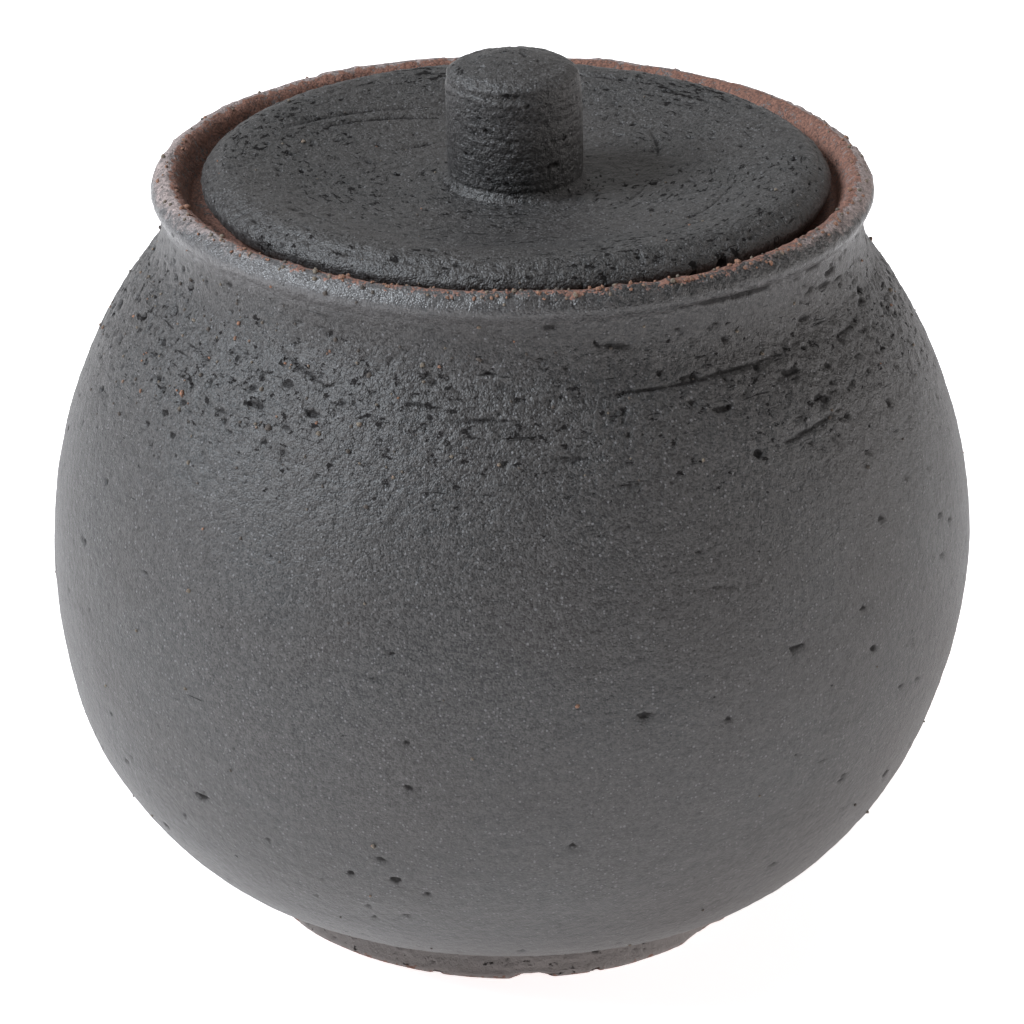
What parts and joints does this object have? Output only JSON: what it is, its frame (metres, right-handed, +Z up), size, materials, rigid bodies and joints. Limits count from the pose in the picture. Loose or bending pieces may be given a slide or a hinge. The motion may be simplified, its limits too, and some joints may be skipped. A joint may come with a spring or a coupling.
{
  "type": "sugar bowl",
  "caption": "Round dark stoneware sugar bowl on a low foot ring, with a drop-in dished lid and a solid turned knob.",
  "frame": {"origin": "on the table, at the centre of the foot ring's standing face", "axes": "+Z up along the axis that the pot and its lid were turned on; the pot is round, so +X and +Y are any two level directions"},
  "size_m": [0.1, 0.1, 0.0947],
  "materials": {
    "pot_stoneware": "matt black slip over coarse red-brown clay, with pits and grit",
    "foot_stoneware": "torn and wiped dark clay, with the red-brown body showing along its standing edge",
    "lid_stoneware": "matt black slip, mottled and finely pitted, with fine throwing lines on the knob"
  },
  "bodies": {
    "pot": {"pot_body": "pot_stoneware", "foot_ring": "foot_stoneware"},
    "lid": {"lid_disc": "lid_stoneware", "lid_knob": "lid_stoneware"}
  },
  "joints": [
    {"name": "lid_lift", "type": "slide", "parent": "pot", "child": "lid", "axis": [0, 0, 1], "range_m": [0, 0.08]}
  ]
}
